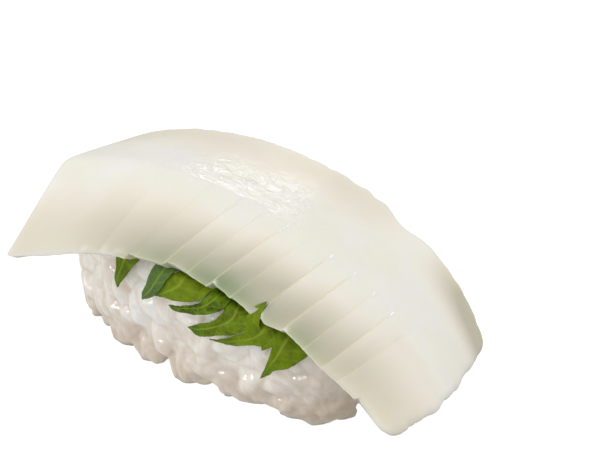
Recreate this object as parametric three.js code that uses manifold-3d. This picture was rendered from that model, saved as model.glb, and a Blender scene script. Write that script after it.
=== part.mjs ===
// One piece of squid nigiri: a hand-pressed block of rice, a saw-toothed green leaf over its
// front shoulder, and a thick slice of raw squid, scored across, draped over both.
// Millimetres, +Z up. +X runs along the slice; its cut front face looks toward -Y.
import * as THREE from "three";
import { mergeGeometries, mergeVertices } from "three/addons/utils/BufferGeometryUtils.js";
import Module from "manifold-3d";

// Where the highest stretch of the slice's ridge stands over the middle of the whole piece.
const RIDGE = { x: -1.8, y: -0.76, height: 27.0 };

// The slice is measured along its ridge from there. Each list holds values that blend
// smoothly from the left end to the right end.
const SLICE = {
  left: -33.6,
  right: 42.5,
  tilt: [-22.4, 7.2, 15.6, 55.2], // degrees, how steeply the ridge falls toward +X
  frontWidth: [19.7, 11.2, 17.7], // ridge to front edge
  frontSlope: [23, 25, 20, -8], // degrees down toward the front
  rearWidth: [16.0, 18.4, 20.2], // ridge to rear edge
  rearSlope: [12.5, -8.3, 21.7], // degrees down toward the rear
  ridgeRadius: 1.3,
  ridgeRaise: 0.5, // lifts the rounded ridge back to where the sharp one would be
  thickness: 6.3,
  frontLip: 1.0,
  rearLip: 1.4,
  rearBevel: 0.62, // part of the rear width over which the slice thins
  endRounding: 1.6, // of the upper edge at both ends
  underRounding: 0.5,
  cornerRounding: 3.0,
  rightBow: { front: 2.4, rear: 0.6, from: 0.8 }, // how far the right end's corners lie back
  rearDent: { at: 18.5, spread: 3.2, depth: 1.3 }, // a torn dip in the rear edge
};

// Knife cuts that score the front face from just behind the ridge to the front edge.
const SCORE = {
  starts: [-13.8, 0, 19, 30.7], // blended: where the first to the last cut cross the ridge
  notch: [0.3, 0.3, 0.3, 0.5, 0.6, 1.2, 0.5, 2.8, 0.9, 0.5, 0.4, 0.4], // at the lip, cut by cut
  drift: { by: -2.9, at: 0.45, spread: 0.22 }, // toward -X on their way down, most at mid-slice
  halfWidth: 0.3,
  opening: 0.2, // how much wider a cut opens at the lip, per millimetre of notch
  depth: 2.4,
  rampStart: 0.08, // just behind the ridge, as a part of the rear width
  ramp: 0.4,
};

// The rice block is an egg-flat oval in plan with a rounded underside.
const RICE = {
  x: -3.4,
  y: 0.25,
  halfLength: 27.1,
  halfWidth: 11.1,
  squareness: 2.6,
  yaw: -11, // degrees, its right end comes toward the front
  top: 24,
  undercutHeight: 11,
  undercut: 5.0, // how far the foot of the block lies inside its widest ring
};

const GRAIN = {
  length: 6.5,
  width: 3.1,
  rows: 6,
  firstRow: 1.3, // height over the floor
  rowPitch: 3.0,
  pitch: 5.8,
  sunk: 0.4, // how far a grain's middle lies inside the block
  sizeSpread: 0.12, // each spread is a part of the value itself, of the pitch, or radians
  placeSpread: 0.25,
  rowSpread: 0.5,
  turnSpread: 0.15,
  tiltSpread: 0.9,
};

// The leaf: a band tucked under the slice, then teeth that hang over the front of the rice.
const LEAF = {
  thickness: 0.5,
  tuckedIn: 6.5,
  bend: 1.6, // softness of the bend over the rice's shoulder
  standoff: 1.5, // from the bare rice block to the middle of the leaf
  curl: { rise: 0.1, wave: 0.6, rate: 1.3 }, // how the tips lift, per millimetre hung
  margin: { depth: 0.2, dip: 2.1, at: 14.5, spread: 4.5 },
};

// Each tooth runs from one notch to the next along the slice, leans toward the leaf's tip
// at -X, reaches down, and sags and swells a little on the way.
const TEETH = [
  { from: -16.8, to: -11.4, lean: 2.5, reach: 6.0, sag: 0.0, swell: 0.5 },
  { from: -8.2, to: -3.6, lean: 4.0, reach: 6.2, sag: 0.2, swell: 0.35 },
  { from: -3.6, to: 3.4, lean: 6.3, reach: 4.5, sag: 0.5, swell: 0.35 },
  { from: 3.4, to: 8.4, lean: 8.6, reach: 4.9, sag: 1.0, swell: 0.3 },
  { from: 8.4, to: 13.2, lean: 8.5, reach: 6.1, sag: 1.1, swell: 0.6 },
  { from: 13.2, to: 17.6, lean: 7.4, reach: 4.9, sag: 0.9, swell: 0.3 },
  { from: 18.2, to: 23.6, lean: 1.0, reach: 8.4, sag: 0.0, swell: 0.6 },
];

const GAP = 0.3; // between pieces that touch in the real food

const wasm = await Module();
wasm.setup();

const radians = THREE.MathUtils.degToRad;
const { clamp } = THREE.MathUtils;

// Blends a list of values over t = 0..1 by repeated averaging, as a Bezier curve does.
function blend(values, t) {
  let row = values;
  while (row.length > 1) {
    row = row.slice(1).map((value, i) => row[i] + (value - row[i]) * t);
  }
  return row[0];
}

const along = (s) => (s - SLICE.left) / (SLICE.right - SLICE.left);

// The ridge's path in the XZ plane, summed in short steps both ways from its highest stretch.
const STEP = 0.1;
const STEPS = { left: 420, right: 500 };

function tiltAt(s) {
  return radians(blend(SLICE.tilt, along(s)));
}

function walkRidge(direction, count) {
  const path = [{ x: 0, z: 0 }];
  for (let i = 0; i < count; i++) {
    const tilt = tiltAt(direction * (i + 0.5) * STEP);
    const last = path[i];
    path.push({
      x: last.x + direction * Math.cos(tilt) * STEP,
      z: last.z - direction * Math.sin(tilt) * STEP,
    });
  }
  return path;
}

const ridgePaths = { left: walkRidge(-1, STEPS.left), right: walkRidge(1, STEPS.right) };

function ridgeAt(s) {
  const path = s < 0 ? ridgePaths.left : ridgePaths.right;
  const place = Math.abs(s) / STEP;
  const i = Math.floor(place);
  const a = path[i];
  const b = path[i + 1];
  return {
    x: RIDGE.x + THREE.MathUtils.lerp(a.x, b.x, place - i),
    z: RIDGE.height + THREE.MathUtils.lerp(a.z, b.z, place - i),
    tilt: tiltAt(s),
  };
}

// A point on the cross-section at s. f runs -1..0 over the front face and 0..1 over the rear.
function acrossSlice(s, f) {
  const t = along(s);
  const front = radians(blend(SLICE.frontSlope, t));
  const rear = radians(blend(SLICE.rearSlope, t));
  const y = f < 0
    ? f * blend(SLICE.frontWidth, t) * Math.cos(front)
    : f * blend(SLICE.rearWidth, t) * Math.cos(rear);
  const [a, b] = [Math.tan(front), Math.tan(rear)];
  const rounded = Math.hypot(y, SLICE.ridgeRadius) - SLICE.ridgeRaise;
  return { y, depth: -0.5 * (a - b) * y + 0.5 * (a + b) * rounded };
}

// How thick the slice is: a thin lip in front, full under the ridge, bevelled to the rear.
function sliceThickness(f) {
  const { thickness, frontLip, rearLip, rearBevel } = SLICE;
  const rise = (from, part) =>
    from + (thickness - from) * Math.sin((Math.PI / 2) * clamp(part, 0, 1));
  return Math.min(rise(frontLip, 1 + f), rise(rearLip, (1 - f) / rearBevel));
}

function slicePoint(s, f, extraDepth) {
  const { x, z, tilt } = ridgeAt(s);
  const { y, depth } = acrossSlice(s, f);
  const down = depth + extraDepth;
  return new THREE.Vector3(x - Math.sin(tilt) * down, RIDGE.y + y, z - Math.cos(tilt) * down);
}

// Turns a three.js geometry into one with only shared positions, with slivers left out.
function welded(geometry) {
  const bare = new THREE.BufferGeometry();
  bare.setAttribute("position", geometry.getAttribute("position").clone());
  bare.setIndex(geometry.getIndex());
  const merged = mergeVertices(bare, 1e-4);
  const index = merged.getIndex().array;
  const kept = [];
  for (let i = 0; i < index.length; i += 3) {
    const [a, b, c] = index.slice(i, i + 3);
    if (a !== b && b !== c && c !== a) kept.push(a, b, c);
  }
  merged.setIndex(kept);
  return merged;
}

// Moves every vertex of a geometry to where the map puts it.
function shaped(geometry, map) {
  const position = geometry.getAttribute("position");
  const corner = new THREE.Vector3();
  for (let i = 0; i < position.count; i++) {
    corner.fromBufferAttribute(position, i);
    const moved = map(corner);
    position.setXYZ(i, moved.x, moved.y, moved.z);
  }
  return geometry;
}

function toSolid(geometry) {
  const merged = welded(geometry);
  return new wasm.Manifold(new wasm.Mesh({
    numProp: 3,
    vertProperties: new Float32Array(merged.getAttribute("position").array),
    triVerts: new Uint32Array(merged.getIndex().array),
  }));
}

// The largest body of a solid: loose scraps are dropped and sealed hollows are filled.
function toGeometry(solid) {
  const bodies = solid.decompose().sort((a, b) => b.volume() - a.volume());
  const mesh = bodies[0].getMesh();
  const geometry = new THREE.BufferGeometry();
  geometry.setAttribute("position", new THREE.BufferAttribute(mesh.vertProperties, 3));
  geometry.setIndex(new THREE.BufferAttribute(mesh.triVerts, 1));
  return geometry;
}

// Where each cut crosses the ridge.
const cutStarts = SCORE.notch.map((_, i) => blend(SCORE.starts, i / (SCORE.notch.length - 1)));

const hump = (v, { at, spread }) => Math.exp(-(((v - at) / spread) ** 2));

// Where the slice's grid has its lines: near each end, in parts of the rounding, and across.
const END_STEPS = [0, 0.3, 0.7, 1.2, 2];
const ACROSS = [-1, -0.93, -0.8, -0.6, -0.4, -0.2, -0.08, 0, 0.08, 0.22, 0.42, 0.62, 0.8, 0.93, 1];

// Stations along the slice: a few to round each end, and three for each cut. A station's
// side is -1, 0 or 1 for the near wall, the floor and the far wall of its cut.
function sliceStations() {
  const { left, right, endRounding } = SLICE;
  const rounding = END_STEPS.map((d) => d * endRounding);
  const plain = (s) => ({ s, side: 0, notch: 0 });
  const stations = rounding.map((d) => plain(left + d));
  const [plainFrom, plainTo] = [left + rounding.at(-1), right - rounding.at(-1)];
  const plainSteps = 5;
  for (let i = 1; i < plainSteps; i++) {
    stations.push(plain(THREE.MathUtils.lerp(plainFrom, cutStarts[0], i / plainSteps)));
  }
  cutStarts.forEach((s, i) => {
    const next = cutStarts[i + 1] ?? plainTo;
    for (const side of [-1, 0, 1]) stations.push({ s, side, notch: SCORE.notch[i] });
    stations.push(plain((s + next) / 2));
  });
  for (const d of rounding.toReversed()) stations.push(plain(right - d));
  return stations;
}

// How far a rounded edge of radius r lies back, at distance d from the end.
function roundedBack(d, r) {
  const left = clamp(r - d, 0, r);
  return r - Math.sqrt(r * r - left * left);
}

// How far the outline lies inside the full width: round corners, cuts and the rear dent.
function outlinePulledIn(station, fromEnd, isFront) {
  const corner = roundedBack(fromEnd, SLICE.cornerRounding);
  if (isFront) return corner + (station.side === 0 ? station.notch : 0);
  return corner + SLICE.rearDent.depth * hump(station.s, SLICE.rearDent);
}

// How far a point lies along the slice from its station's mark on the ridge.
function stationDrift(station, f) {
  const t = along(station.s);
  const down = Math.max(0, -f);
  const wall = station.side * (SCORE.halfWidth + SCORE.opening * station.notch * down * down);
  const bow = f < 0 ? SLICE.rightBow.front : SLICE.rightBow.rear;
  const nearRight = clamp((t - SLICE.rightBow.from) / (1 - SLICE.rightBow.from), 0, 1);
  return wall + SCORE.drift.by * hump(t, SCORE.drift) * down - bow * f * f * nearRight;
}

// The squid slice, bent from a box: its X steps are stations, its Y steps cross the slice.
function squidSlice() {
  const stations = sliceStations();
  const columns = stations.length - 1;
  const rows = ACROSS.length - 1;
  const box = new THREE.BoxGeometry(columns, rows, 1, columns, rows, 1);
  box.translate(columns / 2, rows / 2, 0);
  return welded(shaped(box, (corner) => {
    const station = stations[Math.round(corner.x)];
    const nominal = ACROSS[Math.round(corner.y)];
    const isFront = nominal < 0;
    const fromEnd = Math.min(station.s - SLICE.left, SLICE.right - station.s);
    const width = blend(isFront ? SLICE.frontWidth : SLICE.rearWidth, along(station.s));
    const f = nominal * (1 - outlinePulledIn(station, fromEnd, isFront) / width);
    const s = station.s + stationDrift(station, f);
    const whole = sliceThickness(f);
    if (corner.z < 0) return slicePoint(s, f, whole - roundedBack(fromEnd, SLICE.underRounding));
    const inCut = station.notch > 0 && station.side === 0;
    const cut = inCut ? SCORE.depth * clamp((SCORE.rampStart - f) / SCORE.ramp, 0, 1) : 0;
    const sunk = roundedBack(fromEnd, SLICE.endRounding) + cut;
    return slicePoint(s, f, Math.min(sunk, whole - SLICE.frontLip / 2));
  }));
}

// All the space from a little under the slice upward, to fit the rice to its underside.
function spaceOverRice() {
  const space = { from: SLICE.left - 3, to: SLICE.right + 3, widening: 1.25, height: 40 };
  const box = new THREE.BoxGeometry(1, 2, 1, 26, 8, 1).translate(0.5, 0, 0);
  return toSolid(shaped(box, (corner) => {
    const s = THREE.MathUtils.lerp(space.from, space.to, corner.x);
    const depth = corner.z < 0 ? sliceThickness(corner.y) + GAP : -space.height;
    return slicePoint(s, corner.y * space.widening, depth);
  }));
}

// How far the rice block's outline lies inside its widest ring, at a height over the floor.
function riceInset(height) {
  const low = clamp(1 - height / RICE.undercutHeight, 0, 1);
  return RICE.undercut * (1 - Math.sqrt(1 - low * low));
}

function riceOutline(angle, height, offset) {
  const inset = riceInset(height) - offset;
  const power = 2 / RICE.squareness;
  const stretch = (v) => Math.sign(v) * Math.abs(v) ** power;
  const outline = new THREE.Vector3(
    (RICE.halfLength - inset) * stretch(Math.cos(angle)),
    (RICE.halfWidth - inset) * stretch(Math.sin(angle)),
    height,
  );
  outline.applyAxisAngle(new THREE.Vector3(0, 0, 1), radians(RICE.yaw));
  return outline.add(new THREE.Vector3(RIDGE.x + RICE.x, RIDGE.y + RICE.y, 0));
}

// The bare block, pressed from a sphere: its rings become outlines, its caps go flat.
function riceCore() {
  const rings = 10;
  const sphere = new THREE.SphereGeometry(1, 36, rings).rotateX(Math.PI / 2);
  return toSolid(shaped(sphere, (corner) => {
    const ring = Math.round((Math.acos(clamp(corner.z, -1, 1)) / Math.PI) * rings);
    const height = RICE.top * clamp(1 - (ring - 1) / (rings - 2), 0, 1);
    if (ring === 0 || ring === rings) {
      return new THREE.Vector3(RIDGE.x + RICE.x, RIDGE.y + RICE.y, height);
    }
    return riceOutline(Math.atan2(corner.y, corner.x), height, 0);
  }));
}

// A repeatable random number between -1 and 1.
let seed = 7;
function jitter() {
  seed = (seed * 16807) % 2147483647;
  return (seed / 2147483647) * 2 - 1;
}

// One cooked grain: a ball with few sides, drawn out and laid along the block's outline.
function grainAt(angle, height) {
  const grain = new THREE.SphereGeometry(0.5, 5, 4);
  const length = GRAIN.length * (1 + GRAIN.sizeSpread * jitter());
  const width = GRAIN.width * (1 + GRAIN.sizeSpread * jitter());
  grain.scale(width, length, width);
  grain.rotateY(Math.PI * jitter());
  grain.rotateZ(0.5 * Math.PI + GRAIN.turnSpread * jitter());
  grain.rotateY(GRAIN.tiltSpread * jitter());
  const here = riceOutline(angle, height, -GRAIN.sunk);
  const next = riceOutline(angle + 0.02, height, -GRAIN.sunk);
  grain.rotateZ(Math.atan2(next.y - here.y, next.x - here.x));
  grain.translate(here.x, here.y, here.z);
  return toSolid(grain);
}

// Grains in rows round the block's side, set evenly along each ring with a little jitter.
function riceGrains() {
  const grains = [];
  for (let row = 0; row < GRAIN.rows; row++) {
    const height = GRAIN.firstRow + row * GRAIN.rowPitch;
    const ring = Array.from({ length: 360 }, (_, i) => riceOutline(radians(i), height, 0));
    const path = new THREE.CatmullRomCurve3(ring, true);
    path.arcLengthDivisions = 2 * ring.length;
    const count = Math.round(path.getLength() / GRAIN.pitch);
    for (let i = 0; i < count; i++) {
      const place = ((i + 0.5 * (row % 2) + GRAIN.placeSpread * jitter() + count) / count) % 1;
      const angle = path.getUtoTmapping(place) * 2 * Math.PI;
      grains.push(grainAt(angle, height + GRAIN.rowSpread * jitter()));
    }
  }
  return grains;
}

// Where the front of the rice block stands, pushed out by the leaf's standoff.
function riceFrontY(x, height) {
  const inset = riceInset(height) - LEAF.standoff;
  const [a, b] = [RICE.halfLength - inset, RICE.halfWidth - inset];
  const yaw = radians(RICE.yaw);
  const dx = x - RIDGE.x - RICE.x;
  let dy = -b;
  for (let i = 0; i < 12; i++) {
    const p = dx * Math.cos(yaw) + dy * Math.sin(yaw);
    const bulge = clamp(1 - Math.abs(p / a) ** RICE.squareness, 0.02, 1);
    const q = -b * bulge ** (1 / RICE.squareness);
    dy = 0.5 * dy + 0.5 * ((q + dx * Math.sin(yaw)) / Math.cos(yaw));
  }
  return RIDGE.y + RICE.y + dy;
}

// A ramp that is 0 on one side and rises 1:1 on the other, with a soft bend between.
const softRamp = (v) => 0.5 * (v + Math.hypot(v, LEAF.bend));

// How deep the middle of the leaf lies under the ridge where it follows the slice at y.
function leafDepthUnder(s, y) {
  const t = along(s);
  const reach = y < RIDGE.y
    ? blend(SLICE.frontWidth, t) * Math.cos(radians(blend(SLICE.frontSlope, t)))
    : blend(SLICE.rearWidth, t) * Math.cos(radians(blend(SLICE.rearSlope, t)));
  const f = clamp((y - RIDGE.y) / reach, -1, 1);
  return acrossSlice(s, f).depth + sliceThickness(f) + GAP + LEAF.thickness / 2;
}

// The middle surface of the leaf. w < 0 is tucked in under the slice, w > 0 hangs down.
function leafMiddle(s, w) {
  const { x, z, tilt } = ridgeAt(s);
  const place = (depth) => ({ x: x - Math.sin(tilt) * depth, z: z - Math.cos(tilt) * depth });
  let shoulder = -12;
  for (let i = 0; i < 5; i++) {
    const { x: px, z: pz } = place(leafDepthUnder(s, shoulder));
    shoulder = riceFrontY(px, pz);
  }
  const hung = place(leafDepthUnder(s, shoulder) + softRamp(w));
  const y = riceFrontY(hung.x, Math.max(hung.z, 0)) + softRamp(-w);
  const end = place(leafDepthUnder(s, y) + softRamp(w));
  return new THREE.Vector3(end.x, y, end.z);
}

// A point on the leaf, shifted off its middle surface toward its outer or inner face.
function leafPoint(s, w, offset) {
  const step = 0.05;
  const here = leafMiddle(s, w);
  const alongLeaf = leafMiddle(s + step, w).sub(here);
  const downLeaf = leafMiddle(s, w + step).sub(here);
  const outward = downLeaf.cross(alongLeaf).normalize();
  const { rise, wave, rate } = LEAF.curl;
  const curl = rise * Math.max(0, w) * (1 + wave * Math.sin(rate * s));
  return here.addScaledVector(outward, offset + curl);
}

// The line of notches that the teeth start from, as a depth below the shoulder.
function marginDepth(s) {
  return LEAF.margin.depth + LEAF.margin.dip * hump(s, LEAF.margin);
}

// A point of a tooth: u = -1..1 crosses it from notch to notch, a = 0..1 runs to its tip.
// With extra > 0 it is that much wider all round.
function toothPoint(tooth, u, a, extra = 0) {
  const middle = (tooth.from + tooth.to) / 2;
  const half = (tooth.to - tooth.from) / 2;
  const narrowed = (1 - a) * (1 + tooth.swell * a);
  const root = THREE.MathUtils.lerp(marginDepth(middle + u * half), marginDepth(middle), a);
  return new THREE.Vector3(
    middle - tooth.lean * a + u * (half * narrowed + extra),
    root + tooth.reach * a + tooth.sag * 4 * a * (1 - a) + extra * (2 * a - 1),
    0,
  );
}

// One stretch of the flat leaf, as a grid of columns u = -1..1 and rows a = 0..1.
function leafPatch(columns, rows, map) {
  const grid = new THREE.PlaneGeometry(2, 1, columns, rows).translate(0, 0.5, 0);
  return shaped(grid, (corner) => map(corner.x, 1 - corner.y));
}

// The tucked-in band between two places along the slice, down to the line of notches.
function bandPatch(from, to, columns = 4, extra = 0) {
  return leafPatch(columns, 4, (u, a) => {
    const s = (from + to) / 2 + (u * (to - from)) / 2;
    const tucked = -LEAF.tuckedIn - extra;
    return new THREE.Vector3(s, THREE.MathUtils.lerp(tucked, marginDepth(s), a), 0);
  });
}

// The leaf laid out flat: x is the place along the slice, y the depth below the shoulder.
function flatLeaf() {
  const patches = [];
  TEETH.forEach((tooth, i) => {
    patches.push(bandPatch(tooth.from, tooth.to));
    patches.push(leafPatch(4, 6, (u, a) => toothPoint(tooth, u, a)));
    const next = TEETH[i + 1];
    if (next && next.from > tooth.to) patches.push(bandPatch(tooth.to, next.from));
  });
  return welded(mergeGeometries(patches));
}

// A closed sheet from a flat one: an outer and an inner face, split alike, with walls round
// the border. The outer and inner offsets are measured from the leaf's middle surface.
function thickened(flat, outer, inner) {
  const points = flat.getAttribute("position");
  const index = Array.from(flat.getIndex().array);
  const corners = [];
  for (const offset of [outer, -inner]) {
    for (let i = 0; i < points.count; i++) {
      corners.push(...leafPoint(points.getX(i), points.getY(i), offset).toArray());
    }
  }
  const n = points.count;
  const edges = new Map();
  const triangles = [];
  for (let i = 0; i < index.length; i += 3) {
    const [a, b, c] = index.slice(i, i + 3);
    triangles.push(a, b, c, n + a, n + c, n + b);
    for (const [p, q] of [[a, b], [b, c], [c, a]]) {
      if (!edges.delete(`${q},${p}`)) edges.set(`${p},${q}`, [p, q]);
    }
  }
  for (const [p, q] of edges.values()) triangles.push(q, p, n + p, q, n + p, n + q);
  const geometry = new THREE.BufferGeometry();
  geometry.setAttribute("position", new THREE.Float32BufferAttribute(corners, 3));
  geometry.setIndex(triangles);
  return geometry;
}

function shisoLeaf() {
  return thickened(flatLeaf(), LEAF.thickness / 2, LEAF.thickness / 2);
}

// The space that the rice keeps free for the leaf: the band, and each tooth a little wider.
function leafClearances() {
  const inner = LEAF.thickness / 2 + GAP;
  const outer = 3;
  const flats = [bandPatch(TEETH[0].from - GAP, TEETH.at(-1).to + GAP, 16, GAP)];
  for (const tooth of TEETH) {
    flats.push(leafPatch(2, 4, (u, a) => toothPoint(tooth, u, a, 1.5 * GAP)));
  }
  return flats.map((flat) => toSolid(thickened(welded(flat), outer, inner)));
}

// The rice block: core and grains fused, fitted under the slice and behind the leaf.
function riceBlock() {
  const floor = toSolid(new THREE.BoxGeometry(90, 60, 20).translate(0, 0, -10));
  let block = riceCore();
  for (const grain of riceGrains()) block = block.add(grain);
  block = block.subtract(spaceOverRice()).subtract(floor);
  for (const clearance of leafClearances()) block = block.subtract(clearance);
  return toGeometry(block);
}

function piece(name, geometry, color, roughness) {
  geometry.computeVertexNormals();
  const material = new THREE.MeshStandardMaterial({ color, roughness, metalness: 0 });
  const mesh = new THREE.Mesh(geometry, material);
  mesh.name = name;
  return mesh;
}

const nigiri = new THREE.Group();
nigiri.add(piece("rice", riceBlock(), 0xdcd6ce, 0.4));
nigiri.add(piece("shiso_leaf", shisoLeaf(), 0x5a8222, 0.55));
nigiri.add(piece("squid_slice", squidSlice(), 0xe8e4da, 0.3));

export default nigiri;
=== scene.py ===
# %% [markdown]
# # One piece of squid nigiri
# A slice of raw squid lies over a green leaf and a hand-pressed block of rice. The imported model
# already holds plain solids of the three. This lesson replaces each with a finer surface in the
# same place, gives each its finish, and sets up a camera and lights in a plain white studio.
#
# The first cell loads the imported model and keeps its box. Everything later stays inside it, apart
# from less than half a millimetre.

# %% Load the imported model
import math

import bpy
import numpy as np
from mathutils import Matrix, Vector


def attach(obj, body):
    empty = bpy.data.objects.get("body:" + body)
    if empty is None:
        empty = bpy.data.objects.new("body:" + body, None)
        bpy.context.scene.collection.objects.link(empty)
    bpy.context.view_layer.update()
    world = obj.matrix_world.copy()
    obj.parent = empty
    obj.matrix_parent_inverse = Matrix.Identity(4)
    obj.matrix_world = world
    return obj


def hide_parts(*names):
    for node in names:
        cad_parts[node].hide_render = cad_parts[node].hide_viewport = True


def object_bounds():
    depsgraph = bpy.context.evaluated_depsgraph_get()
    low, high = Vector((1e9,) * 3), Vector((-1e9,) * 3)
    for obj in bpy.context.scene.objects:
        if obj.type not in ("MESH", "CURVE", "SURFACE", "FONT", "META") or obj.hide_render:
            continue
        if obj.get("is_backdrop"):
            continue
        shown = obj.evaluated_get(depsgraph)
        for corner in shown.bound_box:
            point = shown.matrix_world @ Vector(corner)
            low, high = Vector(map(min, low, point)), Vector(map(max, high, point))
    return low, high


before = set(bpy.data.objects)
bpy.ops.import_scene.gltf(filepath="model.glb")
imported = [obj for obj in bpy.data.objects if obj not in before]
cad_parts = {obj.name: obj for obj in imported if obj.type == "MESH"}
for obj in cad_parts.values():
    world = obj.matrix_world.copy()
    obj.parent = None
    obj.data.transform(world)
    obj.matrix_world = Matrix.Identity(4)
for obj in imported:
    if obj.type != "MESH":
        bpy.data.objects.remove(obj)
cad_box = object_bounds()
MM = 0.001
print("nodes:", sorted(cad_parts))

# %% [markdown]
# ## The camera
# The piece is seen from its front right, thirty degrees above the table, with a long lens from
# half a metre away, which flattens perspective as in a product photograph. A camera looks along
# its own -Z axis, so the direction "back", from the piece to the lens, becomes its +Z axis.
# The aim is given as a small step right and down from the top of the ridge.

# %% Camera
RIDGE = np.array([-1.8, -0.76, 27.0])  # the ridge's highest stretch, in millimetres
CAMERA = {"azimuth": 34, "elevation": 30, "distance": 520, "lens": 218.4}
AIM = {"right": 8.114, "up": -3.393}


def view_axes(azimuth, elevation):
    """The directions right, up and back of a viewer who stands at these angles, in degrees."""
    a, e = math.radians(azimuth), math.radians(elevation)
    right = Vector((math.cos(a), math.sin(a), 0))
    back = Vector((math.sin(a) * math.cos(e), -math.cos(a) * math.cos(e), math.sin(e)))
    return right, back.cross(right), back


right, up, back = view_axes(CAMERA["azimuth"], CAMERA["elevation"])
aim = Vector(RIDGE) + right * AIM["right"] + up * AIM["up"]
lens = bpy.data.cameras.new("camera")
lens.sensor_width = 36
lens.lens = CAMERA["lens"]
camera = bpy.data.objects.new("camera", lens)
camera.location = (aim + back * CAMERA["distance"]) * MM
camera.rotation_mode = "QUATERNION"
camera.rotation_quaternion = (-back).to_track_quat("-Z", "Y")
bpy.context.scene.collection.objects.link(camera)
bpy.context.scene.camera = camera
print("camera at", [round(v, 3) for v in camera.location])

# %% [markdown]
# ## The studio
# A white room gives most of the light, evenly from all sides. A panel behind and above makes the
# wet skin sparkle, and a wide soft one at the right reaches the drooping end. On wet rice every
# small glint is the image of a lamp on a bump of the film of water. Four small low lamps in front
# give these glints. They are too weak to cast shadows of their own.

# %% Studio
ROOM = {"light": 0.7, "colour": (1.0, 0.972, 0.94)}
PANELS = {  # azimuth, elevation, distance and size in metres, power in watts
    "back_panel": (206, 33, 0.9, (0.28, 0.2), 0.8),
    "right_panel": (85, 42, 1.0, (0.6, 0.6), 1.9),
}
SMALL_LAMPS = ((2, 6, 0.75), (-16, 9, 0.7), (-38, 5, 0.7), (-60, 9, 0.7))
SMALL_LAMP = {"distance": 1.0, "size": (0.12, 0.09)}
LIT_PLACE = Vector((0, 0, 0.012))


def soft_panel(name, azimuth, elevation, distance, size, power):
    """A soft rectangular light that faces the middle of the piece from these angles."""
    light = bpy.data.lights.new(name, "AREA")
    light.shape = "RECTANGLE"
    light.size, light.size_y = size
    light.energy = power
    direction = view_axes(azimuth, elevation)[2]
    lamp = bpy.data.objects.new(name, light)
    lamp.location = LIT_PLACE + direction * distance
    lamp.visible_camera = False
    lamp.rotation_mode = "QUATERNION"
    lamp.rotation_quaternion = (-direction).to_track_quat("-Z", "Y")
    bpy.context.scene.collection.objects.link(lamp)


for number, (azimuth, elevation, power) in enumerate(SMALL_LAMPS, 1):
    PANELS[f"small_lamp_{number}"] = (azimuth, elevation, *SMALL_LAMP.values(), power)
for panel, values in PANELS.items():
    soft_panel(panel, *values)

world = bpy.data.worlds.new("white_room")
world.use_nodes = True
room = world.node_tree.nodes["Background"]
room.inputs["Color"].default_value = (*ROOM["colour"], 1)
room.inputs["Strength"].default_value = ROOM["light"]
bpy.context.scene.world = world
bpy.context.scene.view_settings.view_transform = "Standard"
print("panels:", list(PANELS))

# %% [markdown]
# ## Helpers for surfaces
# Every surface here is a grid of two parameters whose corners are computed as whole arrays.
# A closed slab is the surface of a box grid: each corner has a place (i, j, k) in whole numbers,
# corners that two sides share are kept once, and a formula later carries places to space.

# %% Mesh helpers


def new_piece(name, corners, faces, material, **values):
    """A smooth mesh object from corners in millimetres and faces; each further value is kept
    as one number per corner, for the material to read."""
    mesh = bpy.data.meshes.new(name)
    mesh.from_pydata((corners * MM).tolist(), [], faces.tolist())
    for key, value in values.items():
        layer = mesh.attributes.new(key, "FLOAT", "POINT")
        layer.data.foreach_set("value", np.ascontiguousarray(value, np.float32))
    mesh.shade_smooth()
    mesh.update()
    piece = bpy.data.objects.new(name, mesh)
    piece.data.materials.append(material)
    bpy.context.scene.collection.objects.link(piece)
    print(name, len(corners), "corners,", len(faces), "faces")
    return piece


def quads(rows, columns, first):
    """Faces of a grid whose corners are numbered row by row, turning left seen from outside."""
    at = first + np.arange(rows * columns).reshape(rows, columns)
    ring = (at[:-1, :-1], at[1:, :-1], at[1:, 1:], at[:-1, 1:])
    return np.stack([part.ravel() for part in ring], -1)


def box_grid(*steps):
    """The surface of a box with that many steps along its three axes: the whole-number place
    of every corner, each kept once, and four-sided faces that point outwards."""
    places, faces, count = [], [], 0
    for axis in range(3):
        across, down = (axis + 1) % 3, (axis + 2) % 3
        for side in (0, steps[axis]):
            side_places = np.zeros((steps[across] + 1, steps[down] + 1, 3), int)
            side_places[..., axis] = side
            side_places[..., across] = np.arange(steps[across] + 1)[:, None]
            side_places[..., down] = np.arange(steps[down] + 1)
            ring = quads(*side_places.shape[:2], count)
            faces.append(ring if side else ring[:, ::-1])
            places.append(side_places.reshape(-1, 3))
            count += len(places[-1])
    places, index = np.unique(np.concatenate(places), axis=0, return_inverse=True)
    return places, index.reshape(-1)[np.concatenate(faces)]


def lattice_number(place, seed):
    """A number from -1 to 1 that looks random, mixed from three whole numbers and a seed."""
    mixed = place @ np.array([374761393, 668265263, 2147483629]) + seed * 1013904223
    mixed = (mixed ^ (mixed >> 13)) * 1274126177 & 0x7FFFFFFF
    return ((mixed ^ (mixed >> 16)) & 0xFFFF) / 32767.5 - 1


def cloud(points, size, seed):
    """Soft random values from -1 to 1: numbers on a cubic lattice of that size, blended between
    its eight corners with a curve that starts and ends level."""
    place = points / size
    low = np.floor(place).astype(int)
    part = place - low
    part = part * part * (3 - 2 * part)
    total = 0.0
    for corner in np.ndindex(2, 2, 2):
        share = np.prod(np.where(np.array(corner) == 1, part, 1 - part), axis=-1)
        total = total + share * lattice_number(low + np.array(corner), seed)
    return total


def hump(value, at, spread):
    """A smooth hill of height 1 around a place."""
    return np.exp(-(((value - at) / spread) ** 2))


def smooth_step(value, start, end):
    """0 before start, 1 after end, and a level-ended curve between."""
    t = np.clip((value - start) / (end - start), 0, 1)
    return t * t * (3 - 2 * t)


print("a box grid of one step a side has", len(box_grid(1, 1, 1)[1]), "faces")

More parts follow.
